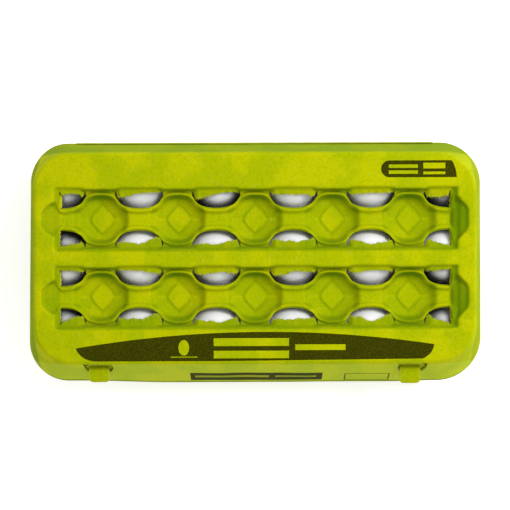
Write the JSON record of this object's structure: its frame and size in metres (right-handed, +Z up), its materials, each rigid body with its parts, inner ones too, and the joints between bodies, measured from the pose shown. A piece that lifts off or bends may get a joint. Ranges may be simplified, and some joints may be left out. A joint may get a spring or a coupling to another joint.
{
  "type": "egg carton with eggs",
  "caption": "Long moulded pulp egg carton with a hinged lid, window slots along two sunken channels, lock tabs and white eggs in cups.",
  "frame": {"origin": "middle of the footprint, on the surface that the cups stand on", "axes": "+X along the carton's length, +Y from the lock flap to the hinge, +Z up through the lid"},
  "size_m": [0.3, 0.1594, 0.07],
  "materials": {
    "pulp": "matt moulded pulp dyed lime green, with fine fibres and dark specks",
    "pulp_lid": "matt moulded pulp dyed lime green, printed with plain dark olive fields",
    "egg_shell": "white egg shell, matt with a soft sheen and fine pores"
  },
  "bodies": {
    "tray": {"tray": "pulp", "lock_flap": "pulp", "egg_a1": "egg_shell", "egg_a2": "egg_shell", "egg_a3": "egg_shell", "egg_a4": "egg_shell", "egg_a5": "egg_shell", "egg_a6": "egg_shell", "egg_b1": "egg_shell", "egg_b2": "egg_shell", "egg_b3": "egg_shell", "egg_b4": "egg_shell", "egg_b5": "egg_shell", "egg_b6": "egg_shell", "egg_c1": "egg_shell", "egg_c2": "egg_shell", "egg_c3": "egg_shell", "egg_c4": "egg_shell", "egg_c5": "egg_shell", "egg_c6": "egg_shell"},
    "lid": {"lid": "pulp_lid"}
  },
  "joints": [
    {"name": "lid_hinge", "type": "hinge", "parent": "tray", "child": "lid", "pos_m": [0, 0.07995, 0.03615], "axis": [-1, 0, 0], "range_deg": [0, 180]}
  ]
}
